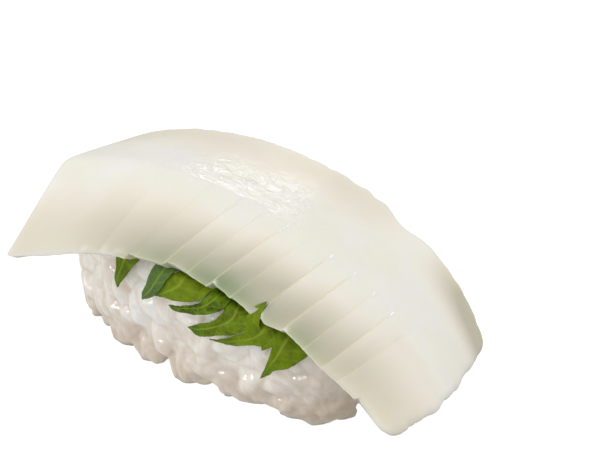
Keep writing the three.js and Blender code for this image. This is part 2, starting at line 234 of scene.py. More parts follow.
# %% [markdown]
# ## The form of the slice
# A squid slice is cut from a flat mantle, so it has a nearly even thickness and two broad faces
# that meet in a ridge: the wet skin side behind, the knife's cut face in front. Laid over rice
# it bends along its length. The ridge is a curve in the upright plane along X, measured by the
# distance s from its highest stretch; its tilt blends smoothly from end to end.
# Across it, f runs from -1 at the front edge over 0 at the ridge to 1 at the rear edge.

# %% Ridge, cross-section and thickness
SLICE_ENDS = (-33.6, 42.5)
TILT = (-22.4, 7.2, 15.6, 55.2)  # degrees, falling toward +X
FRONT = {"width": (19.7, 11.2, 17.7), "slope": (23, 25, 20, -8)}
REAR = {"width": (16.0, 18.4, 20.2), "slope": (12.5, -8.3, 21.7)}
RIDGE_ROUNDING = {"radius": 1.3, "raise": 0.5}
THICK = {"full": 6.3, "front_lip": 1.0, "rear_lip": 1.4, "rear_bevel": 0.62}


def blend(values, t):
    """Repeated averaging of neighbours, which bends smoothly from the first to the last value."""
    row = [value + 0 * t for value in values]
    while len(row) > 1:
        row = [p + (q - p) * t for p, q in zip(row, row[1:])]
    return row[0]


def along(s):
    """How far along the slice a mark lies: 0 at its left end, 1 at its right end."""
    return (s - SLICE_ENDS[0]) / (SLICE_ENDS[1] - SLICE_ENDS[0])


RIDGE_STEP = 0.1
RIDGE_MARKS = np.arange(-420, 501) * RIDGE_STEP  # a little beyond both ends
half_marks = (RIDGE_MARKS[1:] + RIDGE_MARKS[:-1]) / 2
half_tilts = np.radians(blend(TILT, along(half_marks)))
ridge_x = np.append(0, np.cumsum(np.cos(half_tilts))) * RIDGE_STEP
ridge_z = -np.append(0, np.cumsum(np.sin(half_tilts))) * RIDGE_STEP
ridge_x -= np.interp(0, RIDGE_MARKS, ridge_x)
ridge_z -= np.interp(0, RIDGE_MARKS, ridge_z)


def ridge_at(s):
    """x, z and tilt of the ridge: the running sum of the tilt's cosine and sine."""
    x = RIDGE[0] + np.interp(s, RIDGE_MARKS, ridge_x)
    z = RIDGE[2] + np.interp(s, RIDGE_MARKS, ridge_z)
    return x, z, np.radians(blend(TILT, along(s)))


def width_at(s, f):
    """How wide the front or the rear is there, blended from three widths each."""
    return np.where(f < 0, blend(FRONT["width"], along(s)), blend(REAR["width"], along(s)))


def across_slice(s, f):
    """y and depth below the ridge: two straight slopes joined by a rounded ridge, which is the
    average of the slopes plus half their difference times the length of (y, radius)."""
    front = np.radians(blend(FRONT["slope"], along(s)))
    rear = np.radians(blend(REAR["slope"], along(s)))
    y = f * width_at(s, f) * np.where(f < 0, np.cos(front), np.cos(rear))
    a, b = np.tan(front), np.tan(rear)
    rounded = np.hypot(y, RIDGE_ROUNDING["radius"]) - RIDGE_ROUNDING["raise"]
    return y, -0.5 * (a - b) * y + 0.5 * (a + b) * rounded


def thickness(f):
    """A thin front lip, full under the ridge, and a long bevel to the rear: sine ramps."""

    def rise(lip, part):
        return lip + (THICK["full"] - lip) * np.sin(math.pi / 2 * np.clip(part, 0, 1))

    return np.minimum(
        rise(THICK["front_lip"], 1 + f),
        rise(THICK["rear_lip"], (1 - f) / THICK["rear_bevel"]),
    )


def slice_point(s, f, down):
    """A point that far below the slice's upper surface, square to the ridge."""
    x, z, tilt = ridge_at(s)
    y, depth = across_slice(s, f)
    depth = depth + down
    return np.stack([x - np.sin(tilt) * depth, RIDGE[1] + y, z - np.cos(tilt) * depth], -1)


print("ridge ends at", np.round(ridge_at(np.array(SLICE_ENDS))[:2], 1).tolist())

# %% [markdown]
# ## Shader helpers
# Materials are trees of nodes. A few short functions keep the trees readable: one adds a node
# and sets its values, one links sockets, and one mixes two colours.

# %% Node helpers


class NodeTree:
    """A node tree with a short way to add a node: values go to sockets by name, and a value
    that is a socket of another node is linked."""

    def __init__(self, tree):
        """Keeps the tree that the nodes go into."""
        self.tree = tree

    def add(self, kind, settings=None, out=0, **inputs):
        """Adds a node, sets it and its sockets, and gives one of its outputs."""
        node = self.tree.nodes.new(kind)
        for key, value in (settings or {}).items():
            setattr(node, key, value)
        for key, value in inputs.items():
            self.put(node, key.replace("_", " "), value)
        return node.outputs[out]

    def fill(self, socket, value):
        """Links another node's socket to this one, or sets a plain value."""
        if isinstance(value, bpy.types.NodeSocket):
            self.tree.links.new(value, socket)
        else:
            socket.default_value = value

    def put(self, node, key, value):
        """Fills the socket of that name."""
        names = {socket.name.lower(): socket for socket in node.inputs if socket.enabled}
        self.fill(names[key.lower()], value)

    def put_all(self, node, values):
        """Fills several sockets, given by name."""
        for key, value in values.items():
            self.put(node, key, value)

    def math(self, operation, a, b=0.0, kind="ShaderNodeMath"):
        """The sum, product or other result of two values."""
        node = self.tree.nodes.new(kind)
        node.operation = operation
        for socket, value in zip(node.inputs, (a, b)):
            self.fill(socket, value)
        return node.outputs[0]

    def between(self, value, low, high, to_low=0.0, to_high=1.0):
        """Carries low..high to to_low..to_high, smoothly and no further."""
        return self.add(
            "ShaderNodeMapRange", {"interpolation_type": "SMOOTHSTEP"},
            Value=value, From_Min=low, From_Max=high, To_Min=to_low, To_Max=to_high,
        )

    def mix(self, factor, first, second):
        """A colour between two colours."""
        node = self.tree.nodes.new("ShaderNodeMix")
        node.data_type = "RGBA"
        self.put_all(node, {"Factor": factor, "A": first, "B": second})
        return next(s for s in node.outputs if s.enabled)

    def attribute(self, name):
        """A number that a mesh keeps at each of its corners."""
        return self.add("ShaderNodeAttribute", {"attribute_name": name}, out=2)

    def object_place(self):
        """The place on the piece in its own frame, in metres."""
        return self.add("ShaderNodeTexCoord", out=3)


def new_group(name, inputs, outputs):
    """An empty node group; inputs give a socket type and a first value, outputs a type."""
    tree = bpy.data.node_groups.new(name, "ShaderNodeTree")
    for key, (kind, value) in inputs.items():
        tree.interface.new_socket(key, in_out="INPUT", socket_type=kind).default_value = value
    for key, kind in outputs.items():
        tree.interface.new_socket(key, in_out="OUTPUT", socket_type=kind)
    return NodeTree(tree), tree.nodes.new("NodeGroupInput"), tree.nodes.new("NodeGroupOutput")


def use_group(nodes, name, **values):
    """Places a node group in a material with its own values."""
    node = nodes.tree.nodes.new("ShaderNodeGroup")
    node.node_tree = bpy.data.node_groups[name]
    for key, value in values.items():
        nodes.put(node, key.replace("_", " "), value)
    return node


def new_material(name):
    """A material with an empty Principled surface, and the helper for its tree."""
    material = bpy.data.materials.new(name)
    material.use_nodes = True
    nodes = NodeTree(material.node_tree)
    return material, nodes, material.node_tree.nodes["Principled BSDF"]


def linear(red, green, blue):
    """A colour written as on a screen, 0 to 255, as the light that a shader works with."""
    value = np.array([red, green, blue]) / 255
    value = np.where(value < 0.04045, value / 12.92, ((value + 0.055) / 1.055) ** 2.4)
    return (*value.tolist(), 1.0)


print("half grey, 128 of 255, gives", round(linear(128, 128, 128)[0], 3), "of the light")

# %% [markdown]
# Two effects are node groups, built once and placed in a material with its own values. The wet
# relief is for skin: noise folded at its middle value leaves sharp crests like fine wrinkles.
# The mottling is for all three foods, since no food has one even colour: soft patches of noise
# blend between two near tones.

# %% Wet relief and mottling groups
FLOAT, COLOUR, NORMAL = "NodeSocketFloat", "NodeSocketColor", "NodeSocketVector"

wet, wet_in, wet_out = new_group(
    "wet_relief",
    {
        "Size": (FLOAT, 1.0), "Height": (FLOAT, 0.1), "Where": (FLOAT, 1.0),
        "Stretch": (NORMAL, (1, 1, 1)),
    },
    {"Normal": NORMAL},
)
stretched = wet.math(
    "MULTIPLY", wet.object_place(), wet_in.outputs["Stretch"], kind="ShaderNodeVectorMath"
)
fine = wet.add(
    "ShaderNodeTexNoise", Vector=stretched, Detail=2.0, Roughness=0.5,
    Scale=wet.math("DIVIDE", 1 / MM, wet_in.outputs["Size"]), Distortion=0.8,
)
valley = wet.math("ABSOLUTE", wet.math("SUBTRACT", fine, 0.5))
crest = wet.math("SUBTRACT", 0.5, valley)
bent = wet.add(
    "ShaderNodeBump", Height=wet.math("MULTIPLY", crest, wet_in.outputs["Where"]),
    Distance=wet.math("MULTIPLY", wet_in.outputs["Height"], MM),
)
wet.put(wet_out, "Normal", bent)

mottle, mottle_in, mottle_out = new_group(
    "mottling",
    {"Size": (FLOAT, 5.0), "Colour": (COLOUR, (1, 1, 1, 1)), "Second": (COLOUR, (1, 1, 1, 1))},
    {"Colour": COLOUR},
)
patches = mottle.add(
    "ShaderNodeTexNoise", Vector=mottle.object_place(), Detail=2.0,
    Scale=mottle.math("DIVIDE", 1 / MM, mottle_in.outputs["Size"]),
)
patched = mottle.mix(
    mottle.between(patches, 0.35, 0.65), mottle_in.outputs["Colour"], mottle_in.outputs["Second"]
)
mottle.put(mottle_out, "Colour", patched)
print("node groups:", [g.name for g in bpy.data.node_groups])

# %% [markdown]
# ## The floor
# The floor is plain white. It glows a little for the piece and more for the lens, which the Light
# Path node tells apart, so that it is white in the picture without lighting the rice from below.

# %% Floor
FLOOR = {"size": 3.0, "colour": 0.3, "glow": 0.2, "seen": 0.94}
floor_material, floor_nodes, floor_shader = new_material("white_table")
seen_by_lens = floor_nodes.add("ShaderNodeLightPath")
extra = floor_nodes.math("MULTIPLY", seen_by_lens, FLOOR["seen"] - FLOOR["glow"])
floor_nodes.put_all(floor_shader, {
    "Base Color": (*[FLOOR["colour"]] * 3, 1),
    "Roughness": 0.9,
    "Emission Color": (1, 1, 1, 1),
    "Emission Strength": floor_nodes.math("ADD", extra, FLOOR["glow"]),
})
half = FLOOR["size"] / 2 / MM
floor_corners = np.array([[-half, -half, 0], [half, -half, 0], [half, half, 0], [-half, half, 0]])
floor = new_piece("floor", floor_corners, np.array([[0, 1, 2, 3]]), floor_material)
floor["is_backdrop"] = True

# %% [markdown]
# ## The squid slice
# The slice is a box grid: one axis follows the ridge, one crosses it, one goes through the
# thickness. Its columns stand close together at the knife cuts, so that a cut can be a real
# groove, and drift a little toward the left on their way down, as the cuts do.

# %% Knife cuts
CUTS = np.array([  # where each crosses the ridge, how deep it is, and how proud its right side is
    (-13.8, 0.12, 0.0), (-10.1, 0.15, 0.0), (-6.2, 0.3, 0.0), (-0.8, 1.0, 0.02),
    (3.6, 0.5, 0.01), (7.5, 0.9, 0.07), (11.2, 0.5, 0.01), (15.5, 1.0, 0.03),
    (19.7, 1.0, 0.1), (23.8, 0.5, 0.02), (27.6, 0.7, 0.01), (31.0, 0.4, 0.01),
])
CUT_STARTS, CUT_DEPTH, CUT_STEP = CUTS.T
CUT = {"half_width": 0.09, "depth": 0.14, "start": 0.1, "full": -0.1}
DRIFT = {"by": -2.9, "at": 0.45, "spread": 0.22}
CLOSE_COLUMNS = np.array([-1, -0.6, -0.3, -0.15, -0.07, 0, 0.07, 0.15, 0.3, 0.6, 1]) * 0.55
COLUMN_STEP, CLEAR_OF_CUT, CLEAR_OF_END = 0.46, 0.62, 2.2
END_COLUMNS = np.array([0, 0.06, 0.2, 0.42, 0.72, 1.1, 1.6])
NICKS = (-7.85, 35.0)  # the front edge steps here without a cut


def slice_columns():
    """Places along the ridge: even ones, eleven more at each cut, and close ones at the ends."""
    left, right = SLICE_ENDS
    even = np.arange(left + CLEAR_OF_END, right - CLEAR_OF_END, COLUMN_STEP)
    centres = np.append(CUT_STARTS, NICKS)
    even = even[np.abs(even[:, None] - centres).min(1) > CLEAR_OF_CUT]
    cuts = (centres[:, None] + CLOSE_COLUMNS).ravel()
    return np.sort(np.concatenate([even, cuts, left + END_COLUMNS, right - END_COLUMNS]))


def slice_rows():
    """Places across: from the front edge to the rear one, closer at both edges and the ridge."""
    lip = np.array([-1, -0.994, -0.982, -0.965, -0.94])
    front = np.linspace(-0.915, -0.06, 38)
    ridge = np.linspace(-0.035, 0.06, 5)
    rear = np.linspace(0.085, 0.94, 40)
    return np.concatenate([lip, front, ridge, rear, [0.965, 0.982, 0.994, 1]])


columns, rows, layers = slice_columns(), slice_rows(), 6
places, slice_faces = box_grid(len(columns) - 1, len(rows) - 1, layers)
mark, row, top = columns[places[:, 0]], rows[places[:, 1]], places[:, 2] / layers
print("slice grid:", len(columns), "by", len(rows), "by", layers + 1)

# %% [markdown]
# The outline isn't a plain rectangle. Its corners are rounded, the strips between the cuts reach
# further or less far at the front edge, with a nick or an open slit between some of them, and
# the thin rear edge is uneven. All of these pull a corner of the grid in toward the ridge.

# %% Outline
FRONT_EDGE = np.array([  # mark on the ridge, and how far the front edge reaches beyond the form
    (-33.6, 0.6), (-30, 0.8), (-27, 1.25), (-24, 1.47), (-21, 1.35), (-18, 1.05), (-13, 0.66),
    (-9, 0.71), (-7.95, 0.86), (-7.8, -0.16), (-6, 0), (-1.05, 0.11), (-0.85, -0.4), (-0.6, -0.74),
    (0.6, -0.57), (3.5, 0.07), (3.62, -0.1), (4.0, 0.2), (7.4, 0.74), (7.6, -0.35), (8.3, 0),
    (10, 0.26), (11.1, 0.58), (11.3, 0.43), (15.05, 1.03), (15.5, -2.5), (16.0, -0.1),
    (16.3, 0.65), (17.4, 1.24), (19.65, 0.49), (19.8, 0.08), (22, 0.34), (25, 0.72), (27.5, 0.9),
    (31, 0.76), (34.85, 0.66), (35.1, -0.2), (36, 0.08), (38.6, 0.47), (41.5, 1.1), (42.5, 1.1),
])
ROUND = {"corner": 3.0, "end": 1.6, "under": 0.5, "lip": 0.25}
LIP_UNDERCUT = 1.5  # the front lip's lower edge lies back, so that the lip ends in a thin edge
RIGHT_BOW = {"front": 2.4, "rear": 0.6, "from": 0.8}
REAR_DENT = {"at": 18.5, "spread": 3.2, "depth": 1.3}


def rounded_back(distance, radius):
    """How far a round edge lies back at that distance from its end: radius minus the height of
    a circle."""
    left = np.clip(radius - distance, 0, radius)
    return radius - np.sqrt(radius**2 - left**2)


from_cut = mark[:, None] - CUT_STARTS
nearest = np.abs(from_cut).argmin(1)
off_cut = np.take_along_axis(from_cut, nearest[:, None], 1)[:, 0]
from_end = np.minimum(mark - SLICE_ENDS[0], SLICE_ENDS[1] - mark)
is_front = row < 0

reach = np.interp(mark, *FRONT_EDGE.T)
flat_place = np.stack([mark, 0 * mark, 0 * mark], -1)
uneven_front = 0.06 * cloud(flat_place, 0.9, 3) + 0.04 * cloud(flat_place, 0.35, 4)
uneven_rear = 0.22 * cloud(flat_place, 1.7, 5) + 0.1 * cloud(flat_place, 0.6, 6)
pulled = rounded_back(from_end, ROUND["corner"])
pulled += np.where(is_front, uneven_front - reach, 0)
rear_dent = REAR_DENT["depth"] * hump(mark, REAR_DENT["at"], REAR_DENT["spread"])
pulled += np.where(is_front, 0, rear_dent)
pulled += np.where(is_front, 0, uneven_rear)
lip_round = ROUND["lip"] * np.abs(2 * top - 1) ** 2.5 * smooth_step(np.abs(row), 0.9, 1)
undercut = LIP_UNDERCUT * (1 - top) * smooth_step(-row, 0.85, 1)
inward = pulled * smooth_step(np.abs(row), 0.0, 1.0) + lip_round + undercut
f = row * (1 - inward / width_at(mark, row))

down = np.maximum(0, -f)
end_share = np.clip((along(mark) - RIGHT_BOW["from"]) / (1 - RIGHT_BOW["from"]), 0, 1)
bow = np.where(f < 0, RIGHT_BOW["front"], RIGHT_BOW["rear"]) * f**2 * end_share
drift = DRIFT["by"] * hump(along(mark), DRIFT["at"], DRIFT["spread"]) * down
even_place = slice_point(mark, row, 0 * mark)
ragged = 0.5 * cloud(even_place, 2.4, 8) + 0.2 * cloud(even_place, 0.9, 9)
s = mark + drift - bow + ragged * smooth_step(mark, 40.3, 42.5)
print("pulled in, at most:", inward.max().round(2), "mm")

# %% [markdown]
# Then the relief of the upper face. Each cut is a narrow groove that starts just behind the
# ridge, and a knife that leaves the flesh lifts a small burr at its start. The strip to the right
# of a cut stands a little proud near the lip.

# %% Grooves of the cuts
RELIEF = {  # heights in millimetres
    "louvre": 0.5, "burr": 0.16, "crest": 0.07, "broad": 0.1, "fold": 0.07, "fine_fold": 0.03,
    "torn": 0.3,
}
in_cut = np.exp(-np.abs(off_cut / CUT["half_width"]) ** 1.6)  # a narrow rounded valley
cut_reach = smooth_step(-f, -CUT["start"], -CUT["full"])
groove = CUT["depth"] * CUT_DEPTH[nearest] * in_cut * cut_reach
beside = np.clip(off_cut / 0.15, -1, 1) * np.exp(-np.abs(off_cut) / 1.4)
louvre = RELIEF["louvre"] * CUT_STEP[nearest] * beside * smooth_step(down, 0.35, 0.95)
burr = RELIEF["burr"] * CUT_DEPTH[nearest] * hump(off_cut, 0.22, 0.2) * hump(f, -0.02, 0.04)
print("deepest groove:", groove.max().round(2), "mm")

# %% [markdown]
# The skin behind the ridge has soft folds, strongest in the middle. The ridge itself is a thin
# raised line, the whole slice is a little uneven, and bits are torn at the left part of the lip.
# The grid's layers share out whatever thickness is left below.

# %% Folds and torn bits
from_lip = (1 + row) * width_at(mark, row)
plain_place = slice_point(s, f, 0 * s)
folds = RELIEF["fold"] * cloud(plain_place * [0.5, 1, 1], 2.6, 11)
folds += RELIEF["fine_fold"] * cloud(plain_place, 1.1, 12)
skin = smooth_step(f, 0.0, 0.08) * (1 - smooth_step(f, 0.4, 0.75))
skin *= smooth_step(mark, -28, -8) * (1 - 0.78 * smooth_step(mark, 5, 15))
broad = RELIEF["broad"] * cloud(plain_place * [1, 0.35, 1], 7.0, 13)
crest_line = hump(f, 0.0, 0.03) * (0.35 + 0.65 * smooth_step(mark, 16, 26))
torn = cloud(plain_place, 1.0, 14) * hump(from_lip, 0.9, 0.9) * hump(mark, -15, 5) * is_front
relief = groove - louvre - burr - RELIEF["crest"] * crest_line + folds * skin + broad
relief += RELIEF["torn"] * torn
whole = thickness(f)
upper = np.minimum(rounded_back(from_end, ROUND["end"]) + relief, whole - THICK["front_lip"] / 2)
lower = whole - rounded_back(from_end, ROUND["under"])
slice_corners = slice_point(s, f, upper * top + lower * (1 - top))
print("slice box:", slice_corners.min(0).round(1), slice_corners.max(0).round(1))

# %% [markdown]
# ## The leaf
# The leaf lies between slice and rice: tucked in flat under the slice, then bent over the
# shoulder of the rice so that its saw teeth hang down the front. A place on it has two numbers,
# s along the slice and w down from the shoulder, so a tooth can be drawn flat, as two edges that
# meet in a tip, and the same formula that bends the leaf carries it to its place.

# %% The front of the rice and the bend of the leaf
RICE = {"x": -3.4, "y": 0.25, "length": 27.1, "width": 11.1, "power": 2.6, "yaw": -11.0}
FOOT = {"height": 11.0, "inset": 5.0}
LEAF_GAP, LEAF_BEND, LEAF_STANDOFF = 0.55, 1.6, 1.5
SHOULDER_GUESS = -12.0  # y of the shoulder, before it is worked out


def rice_inset(height):
    """How far the rounded foot of the block lies inside its widest ring: a quarter circle."""
    low = np.clip(1 - height / FOOT["height"], 0, 1)
    return FOOT["inset"] * (1 - np.sqrt(1 - low**2))


def rice_front_y(x, height):
    """y of the block's front, a standoff away: the outline |p/a|^n + |q/b|^n = 1, turned by the
    yaw, is solved for y by a dozen damped steps."""
    yaw, power = math.radians(RICE["yaw"]), RICE["power"]
    inset = rice_inset(height) - LEAF_STANDOFF
    a, b = RICE["length"] - inset, RICE["width"] - inset
    dx = x - RIDGE[0] - RICE["x"]
    dy = -b
    for _ in range(12):
        p = dx * math.cos(yaw) + dy * math.sin(yaw)
        q = -b * np.clip(1 - np.abs(p / a) ** power, 0.02, 1) ** (1 / power)
        dy = 0.5 * dy + 0.5 * (q + dx * math.sin(yaw)) / math.cos(yaw)
    return RIDGE[1] + RICE["y"] + dy


def soft_ramp(v):
    """0 on one side and rising one to one on the other, with a soft bend between: half of v plus
    the length of (v, bend)."""
    return 0.5 * (v + np.hypot(v, LEAF_BEND))


def depth_under_slice(s, y):
    """How deep the leaf lies below the ridge where it follows the slice's underside at y."""
    side = np.where(y < RIDGE[1], -1.0, 1.0)
    reach, _ = across_slice(s, side)
    f = side * np.clip((y - RIDGE[1]) / reach, 0, 1)
    return across_slice(s, f)[1] + thickness(f) + LEAF_GAP


def leaf_middle(s, w):
    """The bent leaf: under the slice for w < 0, then down along the front of the rice. Its
    shoulder, where the two meet, is found by five steps that each start from the last y."""
    x, z, tilt = ridge_at(s)
    shoulder = SHOULDER_GUESS + 0 * s
    for _ in range(5):
        depth = depth_under_slice(s, shoulder)
        shoulder = rice_front_y(x - np.sin(tilt) * depth, z - np.cos(tilt) * depth)
    depth = depth_under_slice(s, shoulder) + soft_ramp(w)
    hung_x, hung_z = x - np.sin(tilt) * depth, z - np.cos(tilt) * depth
    y = rice_front_y(hung_x, np.maximum(hung_z, 0)) + soft_ramp(-w)
    depth = depth_under_slice(s, y) + soft_ramp(w)
    return np.stack([x - np.sin(tilt) * depth, y, z - np.cos(tilt) * depth], -1)


def leaf_point(s, w, offset):
    """A point off the leaf's middle, along the cross product of its two directions."""
    step = 0.05
    here = leaf_middle(s, w)
    outward = np.cross(leaf_middle(s, w + step) - here, leaf_middle(s + step, w) - here)
    outward /= np.linalg.norm(outward, axis=-1, keepdims=True)
    return here + outward * offset[..., None]


print("leaf's shoulder in the middle:", leaf_middle(np.zeros(1), np.zeros(1)).round(1).tolist())

# %% [markdown]
# Each tooth is given by its left and right edge, as a few places (s, w) from the root to the
# tip, and by how far it stands off, since folded parts of a leaf lie over each other. The sliver
# rises into the open slit between two strips of squid.

# %% Teeth
TEETH = {  # left edge, right edge, standoff, midrib, paleness; rise through the slit, dullness
    "band": (
        [(-17, -6.5), (-17, -4), (-17, -1.3)],
        [(24.2, -6.5), (24.2, -4), (24.2, -1.3)], 0, 0.5, 0.3,
    ),
    "first": (
        [(-16.4, -2), (-16.3, 2.1), (-16.9, 4.0), (-16.8, 5.2), (-16.2, 6.3)],
        [(-10.3, -2), (-11.0, 0.5), (-12.3, 2.2), (-13.8, 3.8), (-16.2, 6.3)], 0.15, 0.4, 0.45,
    ),
    "flap": (
        [(-6.0, -2), (-6.5, -0.3), (-7.2, 1.2), (-8.1, 3.4), (-8.8, 5.0), (-8.9, 6.3)],
        [(-2.4, -2), (-2.9, 0.1), (-3.6, 1.5), (-4.8, 3.5), (-6.4, 5.2), (-8.9, 6.3)],
        0.55, 0.5, 0.2, 0, 1,
    ),
    "second": (
        [(-4.2, -2), (-4.3, 0.5), (-4.9, 2.5), (-5.7, 4.1), (-6.7, 5.1)],
        [(4.4, -2), (4.0, 0.5), (2.6, 2.7), (-1.0, 4.1), (-6.7, 5.1)], 0.1, 0.42, 0.75,
    ),
    "fold": (
        [(3.9, -2), (3.6, -0.3), (3.35, 1.2), (3.7, 2.1)],
        [(5.6, -2), (4.9, -0.2), (4.3, 1.3), (3.7, 2.1)], 0.45, 0.5, 1.0,
    ),
    "third": (
        [(5.0, -2), (5.2, -0.6), (4.7, 0.8), (3.4, 2.7), (0.4, 4.4), (-2.5, 5.2)],
        [(8.8, -2), (8.6, 0.7), (6.8, 2.8), (3.2, 4.7), (-0.6, 5.6), (-2.5, 5.2)],
        0.3, 0.35, 0.15,
    ),
    "fourth": (
        [(7.6, -2), (8.5, 0.9), (7.9, 3.0), (6.6, 4.7), (3.6, 6.6), (2.3, 7.4)],
        [(13.6, -2), (13.5, 1.5), (12.4, 3.8), (9.0, 6.0), (5.2, 7.9), (2.3, 7.4)],
        0.05, 0.4, 0.45,
    ),
    "fifth": (
        [(12.6, -2), (13.2, 1.4), (13.2, 3.0), (11.6, 4.8), (9.2, 6.6), (7.7, 7.2)],
        [(18.9, -2), (18.7, 1.6), (17.3, 3.0), (14.6, 4.7), (11.6, 6.4), (7.7, 7.2)],
        0.2, 0.5, 0.6,
    ),
    "sliver": (
        [(12.3, 0.9), (13.0, 0.2), (13.6, -0.5), (14.3, -1.3)],
        [(15.7, 0.9), (15.2, 0.2), (14.8, -0.5), (14.3, -1.3)], 0.1, 0.5, 0.9, 2.7,
    ),
    "small": (
        [(17.0, 0), (16.7, 1.6), (16.9, 2.8), (17.5, 3.7)],
        [(19.2, 0), (18.9, 1.6), (18.2, 2.8), (17.5, 3.7)], 0.32, 0.5, 0.5,
    ),
    "last": (
        [(18.0, -2), (18.1, 0.2), (18.7, 2.8), (19.2, 5.0), (19.5, 6.8), (19.6, 8.3)],
        [(24.0, -2), (23.6, 1.2), (22.6, 4.2), (21.0, 5.9), (20.7, 6.9), (19.6, 8.3)],
        0.4, 0.3, 0.6,
    ),
}
print("teeth:", len(TEETH) - 1, "and a band")

# %% [markdown]
# The places between those of an edge are found along a smooth curve. A tooth is then a closed
# thin sheet, again a box grid: creased along its midrib, wavy, and with veins that are kept as
# numbers for the finish.

# %% Sheets of the leaf
SHEET_STEPS = {"tooth": (28, 44, 1), "band": (90, 8, 1)}
SHEET = {"thick": 0.26, "edge": 0.05, "wave": 0.16, "crease": 0.22, "rib": 0.05, "tip": 0.25}
SIDE_VEINS = {"count": 5.5, "slant": 1.1, "strength": 0.6}


def smooth_curve(points, t):
    """Places along a curve through the points, evenly by length. Between two points it is cubic,
    and at each its slope is half the step from the point before to the point after."""
    points = np.array(points, float)
    padded = np.concatenate([[2 * points[0] - points[1]], points, [2 * points[-1] - points[-2]]])
    length = np.append(0, np.cumsum(np.linalg.norm(np.diff(points, axis=0), axis=1)))
    place = np.interp(t * length[-1], length, np.arange(len(points)))
    i = np.minimum(place.astype(int), len(points) - 2)
    u = (place - i)[:, None]
    p0, p1, p2, p3 = (padded[i + k] for k in range(4))
    return p1 + 0.5 * u * (
        p2 - p0 + u * (2 * p0 - 5 * p1 + 4 * p2 - p3 + u * (3 * (p1 - p2) + p3 - p0))
    )


def tooth_sheet(left, right, standoff, midrib, pale, rise=0.0, dull=0.0):
    """A closed sheet between two edges. u crosses it and a runs to its tip. It is creased along
    the midrib, its margins lift a little, and its upper and lower face stand apart."""
    steps = SHEET_STEPS["tooth" if len(left) > 3 else "band"]
    places, faces = box_grid(*steps)
    u, a, face = (places[:, k] / steps[k] for k in range(3))
    a = 1 - a
    left_edge, right_edge = smooth_curve(left, a), smooth_curve(right, a)
    flat = left_edge + (right_edge - left_edge) * u[:, None]
    place = np.stack([*flat.T, 0 * u], -1)
    flat += SHEET["edge"] * cloud(place, 0.5, 31)[:, None] * (a > 0.2)[:, None]
    from_rib = np.abs(u - midrib)
    tip = smooth_step(a, 0.55, 1.0)
    wave = SHEET["wave"] * cloud(np.stack([*flat.T, 0 * u], -1), 1.7, 32)
    crease = SHEET["crease"] * from_rib * (1 - tip) - SHEET["rib"] * hump(from_rib, 0, 0.05)
    lift = standoff + wave + crease + SHEET["tip"] * tip + rise * smooth_step(a, 0.0, 0.65)
    corners = leaf_point(flat[:, 0], flat[:, 1], lift + SHEET["thick"] * (face - 0.5))
    half_width = np.where(u < midrib, midrib, 1 - midrib)
    rib = hump(from_rib, 0, 0.035 + 0.02 * a)
    turn = a * SIDE_VEINS["count"] + SIDE_VEINS["slant"] * from_rib / half_width
    side = np.abs(np.mod(turn, 1) - 0.5) * 2
    rib = np.maximum(rib, SIDE_VEINS["strength"] * hump(side, 1, 0.16) * (1 - a))
    return corners, faces, rib, tip, pale + 0 * u, dull + 0 * u


sheets = [tooth_sheet(*tooth) for tooth in TEETH.values()]
starts = np.cumsum([0] + [len(sheet[0]) for sheet in sheets[:-1]])
leaf_faces = np.concatenate([sheet[1] + start for sheet, start in zip(sheets, starts)])
leaf_corners, leaf_rib, leaf_tip, leaf_pale, leaf_dull = (
    np.concatenate([sheet[k] for sheet in sheets]) for k in (0, 2, 3, 4, 5)
)
print("leaf box:", leaf_corners.min(0).round(1), leaf_corners.max(0).round(1))

# %% [markdown]
# ## The rice
# Cooked sushi rice is a mass of long soft grains that stick together, each still showing. The
# block is made as the real one is: a core, and a few hundred grains laid against it at random
# angles. First come the block's outline, the room under the slice, and the shape of one grain.

# %% Outline of the block and room under the slice
RICE_TOP = 24.0


def outline_point(angle, height, offset):
    """The block's outline at a height: a flat-sided oval, turned by the yaw, where the cosine
    and the sine are raised to a power below one."""
    inset = rice_inset(height) - offset
    power, yaw = 2 / RICE["power"], math.radians(RICE["yaw"])
    c, s = np.cos(angle), np.sin(angle)
    p = (RICE["length"] - inset) * np.sign(c) * np.abs(c) ** power
    q = (RICE["width"] - inset) * np.sign(s) * np.abs(s) ** power
    x = p * math.cos(yaw) - q * math.sin(yaw)
    y = p * math.sin(yaw) + q * math.cos(yaw)
    return np.stack([RIDGE[0] + RICE["x"] + x, RIDGE[1] + RICE["y"] + y, height + 0 * x], -1)


def under_slice(points):
    """How far below the slice's underside points lie, and the direction down there: the mark on
    the ridge whose square plane holds a point is looked up in a table."""
    marks = np.arange(-36, 44.6, 0.4)
    x, z, tilt = ridge_at(marks)
    gap = np.abs(
        (points[:, :1] - x) * np.cos(tilt) - (points[:, 2:] - z) * np.sin(tilt)
    )
    at = gap.argmin(1)
    s, tilt = marks[at], tilt[at]
    depth = -(points[:, 0] - x[at]) * np.sin(tilt) - (points[:, 2] - z[at]) * np.cos(tilt)
    downward = np.stack([-np.sin(tilt), 0 * tilt, -np.cos(tilt)], -1)
    return depth - depth_under_slice(s, points[:, 1]), downward


print("right end of the block's foot:", outline_point(np.zeros(1), 0, 0).round(1).tolist())

# %% A grain and its turns
GRAIN = {
    "length": 7.0, "width": 3.4, "flatness": 0.9, "bend": 0.18, "spread": 0.16,
    "sunk": 0.85, "clear": 0.9, "lean": 0.22, "count": 330,
}


